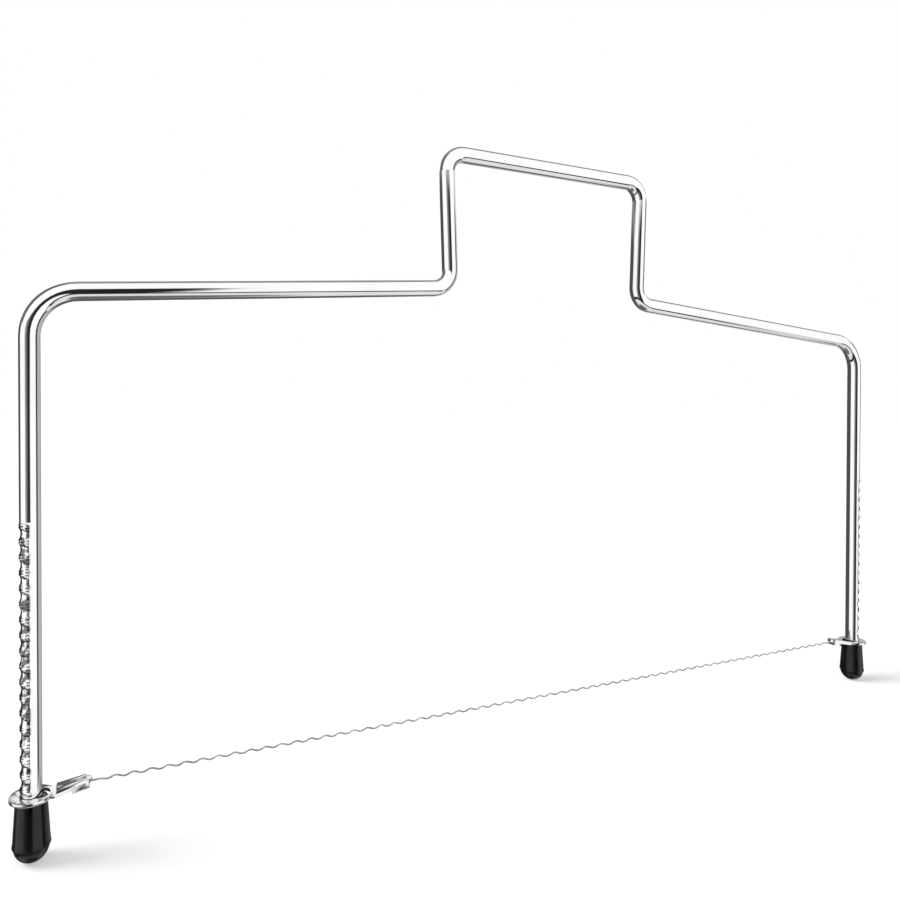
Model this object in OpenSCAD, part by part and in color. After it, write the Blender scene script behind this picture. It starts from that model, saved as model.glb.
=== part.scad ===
// Adjustable cake leveler: a bent steel rod frame on two rubber foot caps, with a
// crimped cutting wire held between two slider plates that catch in the legs' notches.
// Millimetres, Z up. The origin lies on the table, midway between the two feet.

/* [Frame rod] */
// Distance between the axes of the two legs
leg_spacing = 312; // [280:1:340]
// Diameter of the round steel rod
rod_d = 5; // [4.4:0.1:5.4]
// Height of the corner where the lines of a leg and its shoulder cross
shoulder_z = 143; // [130:1:160]
// Rise of each shoulder from its leg to the handle
shoulder_rise = 9.5; // [4:0.5:14]
// Width of the handle at its foot, between the axes of its uprights
handle_foot_w = 75; // [68:1:90]
// Width of the handle at its bar, between the axes of its uprights
handle_bar_w = 78; // [70:1:94]
// Height of the handle bar's axis above the table
handle_z = 195; // [185:1:215]
// Bend radius on the rod's axis between a leg and its shoulder
leg_bend_r = 12; // [8:0.5:18]
// Bend radius on the rod's axis between a shoulder and the handle
neck_bend_r = 6; // [5:0.5:9]
// Bend radius on the rod's axis between an upright and the handle bar
bar_bend_r = 6; // [5:0.5:9]

/* [Notches] */
// Distance from one notch to the next along a leg
notch_pitch = 3.9; // [3.4:0.1:4.4]
// Number of notch ribs on each leg
notch_count = 18; // [10:1:20]
// Width of a rib along the leg
rib_w = 1.3; // [0.9:0.1:1.6]
// Height of a rib over the rod's round surface
rib_rise = 0.12; // [0.05:0.01:0.2]
// Depth of the hollow between two ribs
hollow_depth = 0.3; // [0.1:0.05:0.5]
// Width of the fine groove along the middle of a rib
groove_w = 0.4; // [0.2:0.05:0.6]
// Depth of that groove
groove_depth = 0.14; // [0.05:0.01:0.2]
// Length of the slope from the rod's surface to a rib's top
rib_slope = 0.15; // [0.05:0.01:0.2]
// Angle round the rod's outer side that the notches cover
notch_angle = 170; // [140:5:180]

/* [Slider plates] */
// Diameter of a slider's round plate
plate_d = 10.2; // [9.4:0.1:12]
// Thickness of the sheet
plate_t = 0.8; // [0.6:0.1:1.2]
// Extra length of the plate's hole towards the wire
hole_run = 1.6; // [0.8:0.1:1.8]
// Distance from the leg's axis to the bend of the tail
tail_bend_x = 5.4; // [5:0.1:6]
// Distance from the leg's axis to the tip of the tail
tail_reach = 14.2; // [13:0.1:17]
// Width of the tail at its bend
tail_root_w = 5.6; // [5:0.1:6.6]
// Width of the tail at its rounded tip
tail_tip_w = 3.8; // [3.4:0.1:4.6]
// Thickness of the hems folded over the tail's long edges
hem_t = 0.45; // [0.3:0.05:0.6]
// Width of the slit between the two hems
slit_w = 0.7; // [0.4:0.1:1]
// Length of the flap folded under the tail's tip
flap_len = 5.2; // [4:0.1:6]
// Thickness of that flap
flap_t = 0.5; // [0.4:0.05:0.7]

/* [Cutting wire] */
// Diameter of the wire
wire_d = 0.5; // [0.4:0.05:0.7]
// Length of one crimp wave
wave_pitch = 4.4; // [3.6:0.1:6]
// Height of the waves of the wire's axis, from trough to crest
wave_h = 0.64; // [0.3:0.02:0.9]
// Height of the wire's axis over the top of the slider plates
wire_lift = 0.7; // [0.5:0.05:1.2]

/* [Foot caps] */
// Height of a cap
cap_h = 16; // [14:0.5:18]
// Diameter of a cap at its open end
cap_top_d = 7.4; // [6.8:0.1:8.2]
// Diameter of a cap at the rim over its dome
cap_rim_d = 9; // [8.6:0.1:10]
// Diameter of the dome that stands on the table
dome_d = 8.4; // [7:0.1:8.5]
// Height of the narrow band that runs round the rim
rim_band_h = 0.6; // [0.3:0.1:1]
// Depth of the socket that takes the rod
socket_depth = 11; // [9:0.5:11.5]

/* [Clearances] */
// Gap between the ribs and the hole of a slider
slide_gap = 0.1; // [0.05:0.01:0.2]
// Gap between the rod and the wall of a cap's socket
socket_gap = 0.04; // [0.02:0.01:0.1]
// Gap between the wire and the sheet that grips it
grip_gap = 0.03; // [0.02:0.01:0.06]

/* [Hidden] */
$fn = 64;

steel = [0.80, 0.81, 0.82];
bright_steel = [0.86, 0.87, 0.88];
rubber = [0.05, 0.05, 0.055];

rod_r = rod_d / 2;
leg_x = leg_spacing / 2;

// A bend draws the rod a hair thinner, and its straight neighbours lap into it
bend_thinning = 0.02;
bend_lap = 0.05;

// Heights that follow from the feet upwards
socket_floor_z = cap_h - socket_depth;
rod_end_z = socket_floor_z + socket_gap;
plate_z = cap_h;
wire_z = plate_z + plate_t + wire_lift;
first_rib_z = plate_z + plate_t / 2 + notch_pitch / 2;
last_rib_z = first_rib_z + (notch_count - 1) * notch_pitch;
rib_top_r = rod_r + rib_rise;

// The rod's route through the left half, as corners in the plane of the frame
leg_foot = [-leg_x, rod_end_z];
leg_corner = [-leg_x, shoulder_z];
neck_corner = [-handle_foot_w / 2, shoulder_z + shoulder_rise];
bar_corner = [-handle_bar_w / 2, handle_z];
bar_middle = [0, handle_z];

// The tail rises from the plate until its underside lies on the wire
hole_r = rib_top_r + slide_gap;
tail_run = tail_reach - tail_bend_x;
tail_rise = wire_z - plate_z + wire_d / 2 + grip_gap;
tail_angle = atan2(tail_rise, tail_run);
tail_len = norm([tail_run, tail_rise]);
grip_len = flap_len - tail_tip_w / 4;

// The waves fill the wire between the two tips in a whole number
tip_x = leg_x - tail_reach;
wave_count = round(2 * tip_x / wave_pitch);
wave_len = 2 * tip_x / wave_count;
wire_steps = 8;
wire_sides = 6;

function unit(v) = v / norm(v);
function corner_angle(a, b, c) = acos(unit(b - a) * unit(c - b));
function setback(a, b, c, r) = r * tan(corner_angle(a, b, c) / 2);
function turns_left(a, b, c) = (b - a)[0] * (c - b)[1] - (b - a)[1] * (c - b)[0] > 0;
function heading(a, b) = atan2((b - a)[1], (b - a)[0]);

// A straight stretch of rod between two points of the frame's plane, with its end
// reaching a little into the bend that follows, and its start into the one before
module rod_straight(a, b, start_lap = bend_lap, end_lap = bend_lap) {
    translate([a[0], a[1], 0])
        rotate([0, 0, heading(a, b)])
            rotate([0, 90, 0])
                translate([0, 0, -start_lap])
                    cylinder(h = norm(b - a) + start_lap + end_lap, d = rod_d);
}

// The bend at corner b, of radius r on the rod's axis
module rod_bend(a, b, c, r) {
    side = turns_left(a, b, c) ? 1 : -1;
    start = b - unit(b - a) * setback(a, b, c, r);
    across = heading(a, b) + 90 * side;
    centre = start + r * [cos(across), sin(across)];
    turn = corner_angle(a, b, c);
    from = side > 0 ? across + 180 : across + 180 - turn;
    translate([centre[0], centre[1], 0])
        rotate([0, 0, from])
            rotate_extrude(angle = turn)
                translate([r, 0])
                    circle(d = rod_d - bend_thinning);
}

// One half of the frame above the leg, ending at the middle of the handle bar
module half_bow() {
    leg_cut = setback(leg_foot, leg_corner, neck_corner, leg_bend_r);
    neck_cut = setback(leg_corner, neck_corner, bar_corner, neck_bend_r);
    bar_cut = setback(neck_corner, bar_corner, bar_middle, bar_bend_r);
    to_neck = unit(neck_corner - leg_corner);
    to_bar = unit(bar_corner - neck_corner);
    rotate([90, 0, 0]) {
        rod_straight(leg_foot, leg_corner - [0, leg_cut], start_lap = 0);
        rod_bend(leg_foot, leg_corner, neck_corner, leg_bend_r);
        rod_straight(leg_corner + leg_cut * to_neck, neck_corner - neck_cut * to_neck);
        rod_bend(leg_corner, neck_corner, bar_corner, neck_bend_r);
        rod_straight(neck_corner + neck_cut * to_bar, bar_corner - bar_cut * to_bar);
        rod_bend(neck_corner, bar_corner, bar_middle, bar_bend_r);
        rod_straight(bar_corner + [bar_cut, 0], bar_middle, end_lap = 0);
    }
}

// Outline of one rib as [radius, height] points, from its lower foot to its upper foot
function rib_outline(z) = [
    [rod_r, z - rib_w / 2],
    [rib_top_r, z - rib_w / 2 + rib_slope],
    [rib_top_r, z - groove_w / 2],
    [rib_top_r - groove_depth, z],
    [rib_top_r, z + groove_w / 2],
    [rib_top_r, z + rib_w / 2 - rib_slope],
    [rod_r, z + rib_w / 2]
];

// Outline of the hollow over a rib, a shallow curve without its two ends
function hollow_outline(z) =
    let (half = (notch_pitch - rib_w) / 2)
    [for (t = [-0.75 : 0.25 : 0.75]) [rod_r - hollow_depth * (1 - t * t), z + notch_pitch / 2 + t * half]];

function rack_outline() = [
    for (k = [0 : notch_count - 1])
        let (z = first_rib_z + k * notch_pitch)
            each concat(rib_outline(z), k < notch_count - 1 ? hollow_outline(z) : [])
];

// A sector of a ring round a leg, turned so that its middle faces the leg's outer side
module outer_sector(angle) {
    rotate([0, 0, 180 - angle / 2])
        rotate_extrude(angle = angle)
            children();
}

// Stock that stands over the rod where the ribs will be
module rib_stock() {
    outer_sector(notch_angle)
        translate([rod_r / 2, first_rib_z - rib_w / 2])
            square([rod_r / 2 + rib_rise * 2, last_rib_z - first_rib_z + rib_w]);
}

// All that is cut away from the stock and the rod to leave the ribs
module rack_cut() {
    far = rod_r * 2;
    outer_sector(notch_angle)
        polygon(concat(
            rack_outline(),
            [[far, last_rib_z + rib_w / 2], [far, first_rib_z - rib_w / 2]]
        ));
}

module left_half() {
    difference() {
        union() {
            half_bow();
            translate([-leg_x, 0, 0]) rib_stock();
        }
        translate([-leg_x, 0, 0]) rack_cut();
    }
}

module frame_rod() {
    color(steel) {
        left_half();
        mirror([1, 0, 0]) left_half();
    }
}

// A rubber cap standing on the table, round the z axis
module foot_cap() {
    rim_z = dome_d / 2;
    difference() {
        union() {
            translate([0, 0, rim_z]) sphere(d = dome_d);
            translate([0, 0, rim_z]) cylinder(h = rim_band_h, d = cap_rim_d);
            translate([0, 0, rim_z + rim_band_h])
                cylinder(h = cap_h - rim_z - rim_band_h, d1 = cap_rim_d - 0.2, d2 = cap_top_d);
        }
        translate([0, 0, socket_floor_z])
            cylinder(h = socket_depth + 1, r = rod_r + socket_gap);
    }
}

module left_foot_cap() {
    color(rubber) translate([-leg_x, 0, 0]) foot_cap();
}

module right_foot_cap() {
    color(rubber) translate([leg_x, 0, 0]) foot_cap();
}

// Half the width of the tail at a distance u from its bend
function tail_half(u) = (tail_root_w + (tail_tip_w - tail_root_w) * u / (tail_len - tail_tip_w / 2)) / 2;

tip_u = tail_len - tail_tip_w / 2;

// The tail's outline from its bend to its rounded tip
function tail_outline() = concat(
    [[-0.2, -tail_root_w / 2], [0, -tail_half(0)]],
    [for (a = [-90 : 15 : 90]) [tip_u + tail_tip_w / 2 * cos(a), tail_tip_w / 2 * sin(a)]],
    [[0, tail_half(0)], [-0.2, tail_root_w / 2]]
);

// The hole round the leg, drawn out towards the wire
module plate_hole() {
    circle(r = hole_r);
    translate([hole_run, 0]) circle(r = hole_r);
    translate([0, -hole_r]) square([hole_run, hole_r * 2]);
}

module round_plate() {
    linear_extrude(plate_t)
        difference() {
            union() {
                circle(d = plate_d);
                translate([0, -tail_root_w / 2]) square([tail_bend_x, tail_root_w]);
            }
            plate_hole();
        }
}

// One hem folded over a long edge of the tail; side is 1 or -1
module hem(side) {
    start_u = 0.6;
    translate([0, 0, plate_t - 0.05])
        linear_extrude(hem_t + 0.05)
            polygon([
                [start_u, side * (tail_half(start_u) - 0.1)],
                [tip_u, side * (tail_half(tip_u) - 0.1)],
                [tip_u + 0.7, side * (tail_half(tip_u) - 0.35)],
                [tip_u + 0.7, side * slit_w / 2],
                [start_u + 0.8, side * slit_w / 2],
                [start_u, side * (slit_w / 2 + 0.6)]
            ]);
}

// The flap that comes round the tail's edge and closes under the wire
module flap() {
    gap = wire_d + grip_gap * 2;
    leaf_w = tail_tip_w * 0.8;
    translate([tail_len - flap_len, -tail_half(tip_u), -gap - flap_t]) {
        cube([flap_len - tail_tip_w / 4, leaf_w, flap_t]);
        cube([flap_len - tail_tip_w / 4, flap_t, gap + flap_t + plate_t / 2]);
    }
}

// A slider on a leg that stands on the z axis, with its tail along +X
module slider() {
    translate([0, 0, plate_z]) {
        round_plate();
        translate([tail_bend_x, 0, 0])
            rotate([0, -tail_angle, 0]) {
                linear_extrude(plate_t) polygon(tail_outline());
                hem(1);
                hem(-1);
                flap();
            }
    }
}

module left_slider() {
    color(bright_steel) translate([-leg_x, 0, 0]) slider();
}

module right_slider() {
    color(bright_steel) mirror([1, 0, 0]) translate([-leg_x, 0, 0]) slider();
}

// Height of the wire's axis: waves between the tips, sloping down under each tail
function wave_fade(x) = min(1, (tip_x - abs(x)) / wave_len);
function wire_height(x) =
    abs(x) >= tip_x
        ? wire_z - (abs(x) - tip_x) * tan(tail_angle)
        : wire_z + wave_h / 2 * wave_fade(x) * sin(360 * (x + tip_x) / wave_len);

grip_run = grip_len * cos(tail_angle);
wire_x = concat(
    [-tip_x - grip_run],
    [for (k = [0 : wave_count * wire_steps]) -tip_x + k * wave_len / wire_steps],
    [tip_x + grip_run]
);
wire_axis = [for (x = wire_x) [x, wire_height(x)]];

// Direction of the wire at point i, halfway between its two stretches
function wire_way(i) =
    let (
        a = wire_axis[max(0, i - 1)],
        b = wire_axis[min(len(wire_axis) - 1, i + 1)]
    )
    unit(b - a);

function wire_ring(i) =
    let (p = wire_axis[i], way = wire_way(i))
    [for (k = [0 : wire_sides - 1])
        let (a = 360 * k / wire_sides)
        [p[0] - way[1] * wire_d / 2 * cos(a), wire_d / 2 * sin(a), p[1] + way[0] * wire_d / 2 * cos(a)]];

module cutting_wire() {
    rings = len(wire_axis);
    points = [for (i = [0 : rings - 1]) each wire_ring(i)];
    sides = [
        for (i = [0 : rings - 2])
            for (k = [0 : wire_sides - 1])
                let (a = i * wire_sides + k, b = i * wire_sides + (k + 1) % wire_sides)
                    each [[a, b, b + wire_sides], [a, b + wire_sides, a + wire_sides]]
    ];
    last = (rings - 1) * wire_sides;
    ends = [
        [for (k = [wire_sides - 1 : -1 : 0]) k],
        [for (k = [0 : wire_sides - 1]) last + k]
    ];
    color(steel) polyhedron(points, concat(sides, ends));
}

frame_rod();
left_foot_cap();
right_foot_cap();
left_slider();
right_slider();
cutting_wire();
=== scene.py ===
import math
import bpy
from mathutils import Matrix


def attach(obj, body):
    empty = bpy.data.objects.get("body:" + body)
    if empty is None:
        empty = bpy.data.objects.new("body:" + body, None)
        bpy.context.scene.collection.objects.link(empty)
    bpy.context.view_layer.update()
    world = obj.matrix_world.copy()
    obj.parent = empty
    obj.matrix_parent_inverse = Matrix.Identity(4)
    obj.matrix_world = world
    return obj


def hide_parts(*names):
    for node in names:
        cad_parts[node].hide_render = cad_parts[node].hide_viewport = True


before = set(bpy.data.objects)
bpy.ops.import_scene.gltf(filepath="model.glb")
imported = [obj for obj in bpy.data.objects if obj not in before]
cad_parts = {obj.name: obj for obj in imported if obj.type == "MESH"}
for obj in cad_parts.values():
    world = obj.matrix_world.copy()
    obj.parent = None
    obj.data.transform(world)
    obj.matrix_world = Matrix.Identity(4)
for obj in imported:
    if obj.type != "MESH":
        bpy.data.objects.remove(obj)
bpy.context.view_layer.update()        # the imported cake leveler: rod frame, foot caps, sliders and wire
print("frame loaded:", sorted(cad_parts))


# small helpers

def deselectAll():
    bpy.ops.object.select_all(action="DESELECT")


def makeActive(obj):
    deselectAll()
    obj.select_set(True)
    bpy.context.view_layer.objects.active = obj


def applyModifiers(obj):
    makeActive(obj)
    for modifier in list(obj.modifiers):
        bpy.ops.object.modifier_apply(modifier=modifier.name)


# corners this near are one, and faces that turn less than this are flat
weld = {"distance": 2e-6, "flatDeg": 0.5}


def smoothShading(piece, angleDeg):
    makeActive(piece)
    bpy.ops.object.shade_smooth_by_angle(angle=math.radians(angleDeg))


def mergedCopy(nodeName, pieceName):
    # a CAD node's mesh is loose triangles, so the copy is welded before it is worked on
    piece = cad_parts[nodeName].copy()
    piece.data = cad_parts[nodeName].data.copy()
    piece.name = pieceName
    bpy.context.scene.collection.objects.link(piece)
    piece.data.materials.clear()
    makeActive(piece)
    bpy.ops.mesh.customdata_custom_splitnormals_clear()
    bpy.ops.object.mode_set(mode="EDIT")
    bpy.ops.mesh.select_all(action="SELECT")
    bpy.ops.mesh.remove_doubles(threshold=weld["distance"])
    bpy.ops.mesh.dissolve_limited(angle_limit=math.radians(weld["flatDeg"]))
    bpy.ops.object.mode_set(mode="OBJECT")
    return piece


def roundEdges(piece, look):
    bevel = piece.modifiers.new("roundEdges", "BEVEL")
    bevel.width = look["edgeRadius"]
    bevel.segments = look["edgeSegments"]
    bevel.limit_method = "ANGLE"
    bevel.angle_limit = math.radians(look["edgeDeg"])
    bevel.harden_normals = False
    applyModifiers(piece)
    smoothShading(piece, look["smoothDeg"])


# shader groups, shared by the materials

def addNode(tree, kind, x, y, **values):
    node = tree.nodes.new(kind)
    node.location = (x, y)
    for name, value in values.items():
        setattr(node, name, value)
    return node


def shareOf(tree, x, y, value, start, full):
    # 0 where the value is at start or before it, and 1 from full on
    span = addNode(tree, "ShaderNodeMapRange", x, y)
    span.inputs["From Min"].default_value = start
    span.inputs["From Max"].default_value = full
    tree.links.new(value, span.inputs["Value"])
    return span.outputs["Result"]


def productOf(tree, x, y, values):
    product = values[0]
    for number, value in enumerate(values[1:]):
        step = addNode(tree, "ShaderNodeMath", x, y - 180 * number, operation="MULTIPLY")
        tree.links.new(product, step.inputs[0])
        tree.links.new(value, step.inputs[1])
        product = step.outputs["Value"]
    return product


def newGroup(name, inputs, outputs):
    group = bpy.data.node_groups.new(name, "ShaderNodeTree")
    for label, default in inputs:
        socket = group.interface.new_socket(label, in_out="INPUT", socket_type="NodeSocketFloat")
        socket.default_value = default
    for label in outputs:
        group.interface.new_socket(label, in_out="OUTPUT", socket_type="NodeSocketFloat")
    return group


# faint smears and hairline scratches: the group's defaults, and where on the noise a smear begins and is full
handlingInputs = [
    ("Smear Scale", 60.0),
    ("Scratch Scale", 900.0),
    ("Clean Roughness", 0.05),
    ("Smear Roughness", 0.12),
]
smearRange = (0.42, 0.72)


def makeHandlingGroup():
    # puts out a roughness to use and a height for a bump
    group = newGroup("handlingMarks", handlingInputs, ["Roughness", "Height"])
    source = addNode(group, "NodeGroupInput", -900, 0)
    sink = addNode(group, "NodeGroupOutput", 500, 0)
    coord = addNode(group, "ShaderNodeTexCoord", -900, -260)
    smear = addNode(group, "ShaderNodeTexNoise", -620, 120)
    smear.inputs["Detail"].default_value = 4.0
    scratch = addNode(group, "ShaderNodeTexNoise", -620, -260)
    scratch.inputs["Detail"].default_value = 2.0
    mixUp = addNode(group, "ShaderNodeMapRange", 120, 120)
    link = group.links.new
    link(coord.outputs["Object"], smear.inputs["Vector"])
    link(coord.outputs["Object"], scratch.inputs["Vector"])
    link(source.outputs["Smear Scale"], smear.inputs["Scale"])
    link(source.outputs["Scratch Scale"], scratch.inputs["Scale"])
    link(shareOf(group, -380, 120, smear.outputs["Fac"], *smearRange), mixUp.inputs["Value"])
    link(source.outputs["Clean Roughness"], mixUp.inputs["To Min"])
    link(source.outputs["Smear Roughness"], mixUp.inputs["To Max"])
    link(mixUp.outputs["Result"], sink.inputs["Roughness"])
    link(scratch.outputs["Fac"], sink.inputs["Height"])
    return group


handlingMarks = makeHandlingGroup()
print("shader groups made")


# materials

shadeRange = (0.35, 0.65)       # where on the noise the dark shade ends and the light one begins


def twoShades(tree, x, y, value, places, dark, light):
    ramp = addNode(tree, "ShaderNodeValToRGB", x, y)
    for element, place, shade in zip(ramp.color_ramp.elements, places, (dark, light)):
        element.position = place
        element.color = (*shade, 1.0)
    tree.links.new(value, ramp.inputs["Fac"])
    return ramp.outputs["Color"]


def newMaterial(name, settings):
    material = bpy.data.materials.new(name)
    material.use_nodes = True
    tree = material.node_tree
    shader = tree.nodes["Principled BSDF"]
    shader.inputs["Metallic"].default_value = settings["metallic"]
    marks = addNode(tree, "ShaderNodeGroup", -700, 0)
    marks.node_tree = handlingMarks
    for label, _ in handlingInputs:
        marks.inputs[label].default_value = settings[label]
    bump = addNode(tree, "ShaderNodeBump", -300, -260)
    bump.inputs["Strength"].default_value = settings["bumpStrength"]
    bump.inputs["Distance"].default_value = settings["bumpDistance"]
    tree.links.new(marks.outputs["Roughness"], shader.inputs["Roughness"])
    tree.links.new(marks.outputs["Height"], bump.inputs["Height"])
    tree.links.new(bump.outputs["Normal"], shader.inputs["Normal"])

    # a slow change of shade over the surface, so that no finish is one flat colour
    coord = addNode(tree, "ShaderNodeTexCoord", -1100, 300)
    noise = addNode(tree, "ShaderNodeTexNoise", -900, 300)
    noise.inputs["Scale"].default_value = settings["shadeScale"]
    noise.inputs["Detail"].default_value = 3.0
    tree.links.new(coord.outputs["Object"], noise.inputs["Vector"])
    shade = twoShades(tree, -640, 300, noise.outputs["Fac"], shadeRange, settings["dark"], settings["light"])
    tree.links.new(shade, shader.inputs["Base Color"])
    return material


platedRod = newMaterial("platedRod", {
    "metallic": 1.0, "shadeScale": 45.0, "dark": (0.84, 0.85, 0.86), "light": (0.91, 0.915, 0.92),
    "Smear Scale": 70.0, "Scratch Scale": 1400.0,
    "Clean Roughness": 0.03, "Smear Roughness": 0.08, "bumpStrength": 0.05, "bumpDistance": 0.00003,
})

# the stamped notches on the outer half of each leg: where they lie, their dents, and the dark and bright
# spots in the rod's colour there, which are painted shade and painted glints
notchLook = {
    "fromX": 0.1557, "fullX": 0.1561, "low": 0.0178, "high": 0.0856, "fade": 0.0004,
    "grainScale": 620.0, "grainHeight": 0.00024,
    "shadeSpotRange": (0.44, 0.54), "dark": (0.20, 0.20, 0.205), "bright": (0.93, 0.935, 0.94),
}


# dents the notches with a bump, and paints shade and glints into their colour
def dentAndShadeNotches(material, look):
    tree = material.node_tree
    shader = tree.nodes["Principled BSDF"]
    link = tree.links.new
    coord = addNode(tree, "ShaderNodeTexCoord", -1500, -600)
    parts = addNode(tree, "ShaderNodeSeparateXYZ", -1300, -600)
    side = addNode(tree, "ShaderNodeMath", -1100, -500, operation="ABSOLUTE")
    link(coord.outputs["Object"], parts.inputs["Vector"])
    link(parts.outputs["X"], side.inputs[0])
    mask = productOf(tree, -700, -500, [
        shareOf(tree, -900, -500, side.outputs["Value"], look["fromX"], look["fullX"]),
        shareOf(tree, -900, -700, parts.outputs["Z"], look["low"], look["low"] + look["fade"]),
        shareOf(tree, -900, -900, parts.outputs["Z"], look["high"], look["high"] - look["fade"]),
    ])
    grain = addNode(tree, "ShaderNodeTexNoise", -900, -1100)
    grain.inputs["Scale"].default_value = look["grainScale"]
    grain.inputs["Detail"].default_value = 1.5
    link(coord.outputs["Object"], grain.inputs["Vector"])
    rise = productOf(tree, -500, -700, [grain.outputs["Fac"], mask])
    dents = addNode(tree, "ShaderNodeBump", -200, -500)
    dents.inputs["Strength"].default_value = 1.0
    dents.inputs["Distance"].default_value = look["grainHeight"]
    link(rise, dents.inputs["Height"])
    link(shader.inputs["Normal"].links[0].from_socket, dents.inputs["Normal"])
    link(dents.outputs["Normal"], shader.inputs["Normal"])
    # painted shade and painted glints: dark and bright spots mixed into the rod's colour over the notches
    shadeSpots = twoShades(tree, -500, 100, grain.outputs["Fac"], look["shadeSpotRange"], look["dark"], look["bright"])
    shade = addNode(tree, "ShaderNodeMix", -100, 300, data_type="RGBA")
    link(mask, shade.inputs["Factor"])
    link(shader.inputs["Base Color"].links[0].from_socket, shade.inputs["A"])
    link(shadeSpots, shade.inputs["B"])
    link(shade.outputs["Result"], shader.inputs["Base Color"])


dentAndShadeNotches(platedRod, notchLook)

stampedSheet = newMaterial("stampedSheet", {
    "metallic": 1.0, "shadeScale": 160.0, "dark": (0.78, 0.79, 0.80), "light": (0.88, 0.89, 0.90),
    "Smear Scale": 240.0, "Scratch Scale": 2600.0,
    "Clean Roughness": 0.14, "Smear Roughness": 0.26, "bumpStrength": 0.12, "bumpDistance": 0.00004,
})

crimpedSteel = newMaterial("crimpedSteel", {
    "metallic": 1.0, "shadeScale": 260.0, "dark": (0.30, 0.30, 0.31), "light": (0.58, 0.58, 0.59),
    "Smear Scale": 300.0, "Scratch Scale": 4000.0,
    "Clean Roughness": 0.16, "Smear Roughness": 0.28, "bumpStrength": 0.08, "bumpDistance": 0.00002,
})

capRubber = newMaterial("capRubber", {
    "metallic": 0.0, "shadeScale": 180.0, "dark": (0.003, 0.003, 0.0032), "light": (0.007, 0.007, 0.0075),
    "Smear Scale": 220.0, "Scratch Scale": 2200.0,
    "Clean Roughness": 0.16, "Smear Roughness": 0.30, "bumpStrength": 0.25, "bumpDistance": 0.00006,
})
rubberShader = capRubber.node_tree.nodes["Principled BSDF"]
rubberShader.inputs["Specular IOR Level"].default_value = 0.36      # less shine than plastic
print("materials made")


# the rod frame keeps its CAD shape, with its notches

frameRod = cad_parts["frame_rod"]
frameRod.data.materials.clear()
frameRod.data.materials.append(platedRod)
print("rod frame dressed")


# foot caps

capLook = {"edgeRadius": 0.00012, "edgeSegments": 3, "edgeDeg": 30, "smoothDeg": 35}

for nodeName, pieceName in (("left_foot_cap", "leftFootCap"), ("right_foot_cap", "rightFootCap")):
    cap = mergedCopy(nodeName, pieceName)
    cap.data.materials.append(capRubber)
    roundEdges(cap, capLook)
    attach(cap, "frame")
    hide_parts(nodeName)
print("foot caps made")


# slider plates

sliderLook = {"edgeRadius": 0.00010, "edgeSegments": 2, "edgeDeg": 40, "smoothDeg": 35}

for nodeName, pieceName in (("left_slider", "leftSliderPlate"), ("right_slider", "rightSliderPlate")):
    slider = mergedCopy(nodeName, pieceName)
    slider.data.materials.append(stampedSheet)
    roundEdges(slider, sliderLook)
    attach(slider, "cutter")
    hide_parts(nodeName)
print("slider plates made")


# cutting wire

wireLook = {"smoothDeg": 70}

wire = mergedCopy("cutting_wire", "crimpedWire")
wire.data.materials.append(crimpedSteel)
smoothShading(wire, wireLook["smoothDeg"])
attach(wire, "cutter")
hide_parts("cutting_wire")
print("cutting wire made")


# floor, world and suns

studio = {
    "floorSize": 40.0,
    "floorColor": (0.62, 0.62, 0.62),
    "floorLift": 0.44,                  # white that the camera sees on the floor besides its lit colour
    "matteStrength": 0.40,              # the world as matte surfaces see it
    "sunTurn": (0, -52, -18),           # from the left and a little behind
    "sunStrength": 3.0,
    "sunSoftness": 34,
    "fillTurn": (50, 0, 30),            # a little light from the viewer's side
    "fillStrength": 0.25,
    "fillSoftness": 60,
}

# the white and dark screens round the object that bright metal shows, as degrees round it from the
# viewer's side (-Y is 0, +X is 90) and brightness
screensRound = [
    (-180, 0.08), (-108, 0.08), (-104, 1.12), (-50, 1.12), (-42, 0.40), (-22, 0.10), (-8, 0.02), (9, 0.02),
    (12, 1.12), (68, 1.12), (72, 0.05), (88, 0.05), (93, 0.50), (148, 0.50), (154, 0.08), (180, 0.08),
]
# what stands above and below them, as the height of the direction: screens show where the share is 1
screensShare = [(-0.54, 0.0), (-0.50, 1.0), (0.27, 1.0), (0.33, 0.0)]
aboveAndBelow = [
    (-0.95, 0.15), (-0.92, 0.85), (-0.70, 0.85), (-0.66, 0.02), (-0.45, 0.02), (0.20, 1.12),
]
# patches of it that have another brightness: where each begins and is full, along its axes
patches = {
    "lowRight": {"X": (0.67, 0.72), "Z": (-0.53, -0.57), "brightness": 0.80},
    "lowBack": {"Y": (0.28, 0.34), "Z": (-0.30, -0.36), "brightness": 0.12},
    "highBack": {"Y": (0.02, 0.08), "Z": (0.52, 0.58), "brightness": 0.30},
    "backLeft": {"X": (-0.20, -0.26), "Y": (0.02, 0.08), "Z": (0.26, 0.32), "brightness": 0.15},
    "backRight": {"X": (0.20, 0.26), "Y": (0.02, 0.08), "Z": (0.30, 0.36), "brightness": 0.30},
}


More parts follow.
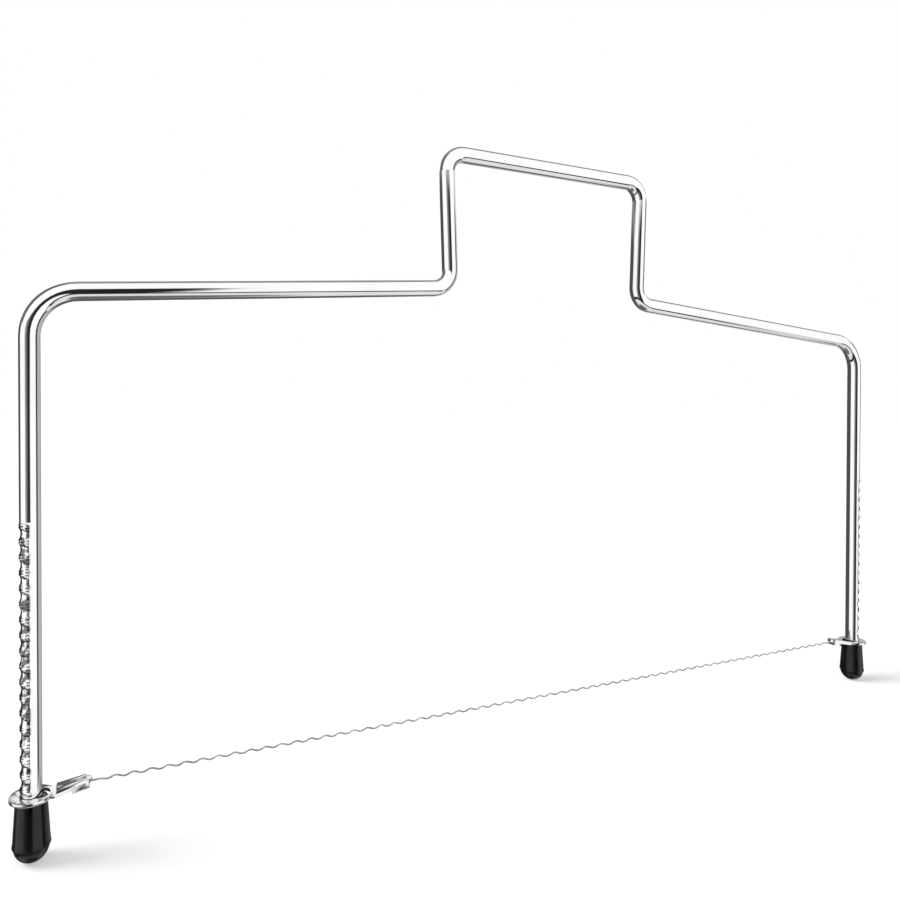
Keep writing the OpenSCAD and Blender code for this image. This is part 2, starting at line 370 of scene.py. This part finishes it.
def makeFloor():
    deselectAll()
    bpy.ops.mesh.primitive_plane_add(size=studio["floorSize"], location=(0, 0, 0))
    floor = bpy.context.active_object
    floor.name = "floor"
    floor.visible_glossy = False        # metal sees the screens below it too
    material = bpy.data.materials.new("paleFloor")
    material.use_nodes = True
    tree = material.node_tree
    tree.nodes.clear()
    out = addNode(tree, "ShaderNodeOutputMaterial", 600, 0)
    matte = addNode(tree, "ShaderNodeBsdfDiffuse", 0, -100)
    matte.inputs["Color"].default_value = (*studio["floorColor"], 1.0)
    lift = addNode(tree, "ShaderNodeEmission", 0, 100)
    lift.inputs["Color"].default_value = (1.0, 1.0, 1.0, 1.0)
    path = addNode(tree, "ShaderNodeLightPath", -400, 300)
    strength = addNode(tree, "ShaderNodeMath", -200, 200, operation="MULTIPLY")
    strength.inputs[1].default_value = studio["floorLift"]
    both = addNode(tree, "ShaderNodeAddShader", 300, 0)
    tree.links.new(path.outputs["Is Camera Ray"], strength.inputs[0])
    tree.links.new(strength.outputs["Value"], lift.inputs["Strength"])
    tree.links.new(lift.outputs["Emission"], both.inputs[0])
    tree.links.new(matte.outputs["BSDF"], both.inputs[1])
    tree.links.new(both.outputs["Shader"], out.inputs["Surface"])
    floor.data.materials.append(material)


def rampOf(tree, x, y, low, high, stops):
    # a map range and a colour ramp, which turn a value from low to high into the brightness at the stops
    span = addNode(tree, "ShaderNodeMapRange", x, y)
    span.inputs["From Min"].default_value = low
    span.inputs["From Max"].default_value = high
    ramp = addNode(tree, "ShaderNodeValToRGB", x + 200, y)
    elements = ramp.color_ramp.elements
    for number, (value, brightness) in enumerate(stops):
        place = (value - low) / (high - low)
        if number < 2:
            element = elements[number]
            element.position = place
        else:
            element = elements.new(place)
        element.color = (brightness, brightness, brightness, 1.0)
    tree.links.new(span.outputs["Result"], ramp.inputs["Fac"])
    return span.inputs["Value"], ramp.outputs["Color"]


def makeWorld():
    world = bpy.data.worlds.new("studio")
    bpy.context.scene.world = world
    world.use_nodes = True
    tree = world.node_tree
    tree.nodes.clear()
    link = tree.links.new
    coord = addNode(tree, "ShaderNodeTexCoord", -1400, -200)
    parts = addNode(tree, "ShaderNodeSeparateXYZ", -1200, -200)
    toViewer = addNode(tree, "ShaderNodeMath", -1000, -300, operation="MULTIPLY")
    toViewer.inputs[1].default_value = -1.0
    turn = addNode(tree, "ShaderNodeMath", -800, -200, operation="ARCTAN2")
    link(coord.outputs["Generated"], parts.inputs["Vector"])
    link(parts.outputs["Y"], toViewer.inputs[0])
    link(parts.outputs["X"], turn.inputs[0])
    link(toViewer.outputs["Value"], turn.inputs[1])
    degrees = addNode(tree, "ShaderNodeMath", -640, -200, operation="DEGREES")
    link(turn.outputs["Value"], degrees.inputs[0])

    roundIn, roundOut = rampOf(tree, -480, -100, -180, 180, screensRound)
    shareIn, shareOut = rampOf(tree, -480, -400, -1, 1, screensShare)
    endsIn, endsOut = rampOf(tree, -480, -700, -1, 1, aboveAndBelow)
    link(degrees.outputs["Value"], roundIn)
    link(parts.outputs["Z"], shareIn)
    link(parts.outputs["Z"], endsIn)
    for row, patch in enumerate(patches.values()):
        low = -1000 - 600 * row
        shares = [shareOf(tree, -300, low - 200 * number, parts.outputs[axis], *patch[axis])
                  for number, axis in enumerate(axis for axis in "XYZ" if axis in patch)]
        overlap = productOf(tree, -100, low, shares)
        patched = addNode(tree, "ShaderNodeMix", 100, low, data_type="RGBA")
        link(overlap, patched.inputs["Factor"])
        link(endsOut, patched.inputs["A"])
        patched.inputs["B"].default_value = (patch["brightness"],) * 3 + (1.0,)
        endsOut = patched.outputs["Result"]
    seen = addNode(tree, "ShaderNodeMix", 0, -300, data_type="RGBA")
    link(shareOut, seen.inputs["Factor"])
    link(endsOut, seen.inputs["A"])
    link(roundOut, seen.inputs["B"])

    # matte surfaces see one soft level, metal the screens, and the camera plain white
    soft = addNode(tree, "ShaderNodeBackground", 300, 200)
    soft.inputs["Strength"].default_value = studio["matteStrength"]
    screens = addNode(tree, "ShaderNodeBackground", 300, -200)
    white = addNode(tree, "ShaderNodeBackground", 300, 0)
    for background in (soft, white):
        background.inputs["Color"].default_value = (1.0, 1.0, 1.0, 1.0)
    link(seen.outputs["Result"], screens.inputs["Color"])
    path = addNode(tree, "ShaderNodeLightPath", 300, 500)
    orThrough = addNode(tree, "ShaderNodeMath", 500, 400, operation="MAXIMUM")
    forMetal = addNode(tree, "ShaderNodeMixShader", 600, 0)
    forCamera = addNode(tree, "ShaderNodeMixShader", 800, 0)
    out = addNode(tree, "ShaderNodeOutputWorld", 1000, 0)
    link(path.outputs["Is Glossy Ray"], forMetal.inputs["Fac"])
    link(soft.outputs["Background"], forMetal.inputs[1])
    link(screens.outputs["Background"], forMetal.inputs[2])
    link(path.outputs["Is Camera Ray"], orThrough.inputs[0])
    link(path.outputs["Is Transmission Ray"], orThrough.inputs[1])
    link(orThrough.outputs["Value"], forCamera.inputs["Fac"])
    link(forMetal.outputs["Shader"], forCamera.inputs[1])
    link(white.outputs["Background"], forCamera.inputs[2])
    link(forCamera.outputs["Shader"], out.inputs["Surface"])


def addSun(name, turn, strength, softness):
    deselectAll()
    bpy.ops.object.light_add(type="SUN", location=(0, 0, 1), rotation=[math.radians(a) for a in turn])
    sun = bpy.context.active_object
    sun.name = name
    sun.data.energy = strength
    sun.data.angle = math.radians(softness)
    sun.visible_glossy = False          # the screens shape the metal's reflections


makeFloor()
makeWorld()
addSun("sideSun", studio["sunTurn"], studio["sunStrength"], studio["sunSoftness"])
addSun("frontFill", studio["fillTurn"], studio["fillStrength"], studio["fillSoftness"])
print("studio made")


# camera, at the photograph's viewing angle

cameraLook = {
    "place": (-0.14444, -0.20380, 0.11222),
    "turnDeg": -24.053,
    "tiltDeg": -0.664,
    "rollDeg": -0.075,
    "lens": 29.014,
    "filmWidth": 36.0,
    "shift": (0.0511, -0.0289),
}

deselectAll()
bpy.ops.object.camera_add(location=cameraLook["place"])
camera = bpy.context.active_object
camera.rotation_euler = (
    math.radians(90 + cameraLook["tiltDeg"]),
    math.radians(cameraLook["rollDeg"]),
    math.radians(cameraLook["turnDeg"]),
)
camera.data.lens = cameraLook["lens"]
camera.data.sensor_width = cameraLook["filmWidth"]
camera.data.sensor_fit = "HORIZONTAL"
camera.data.shift_x = cameraLook["shift"][0]
camera.data.shift_y = cameraLook["shift"][1]
camera.data.clip_start = 0.01
bpy.context.scene.camera = camera
bpy.context.scene.view_settings.view_transform = "Standard"
print("camera set")
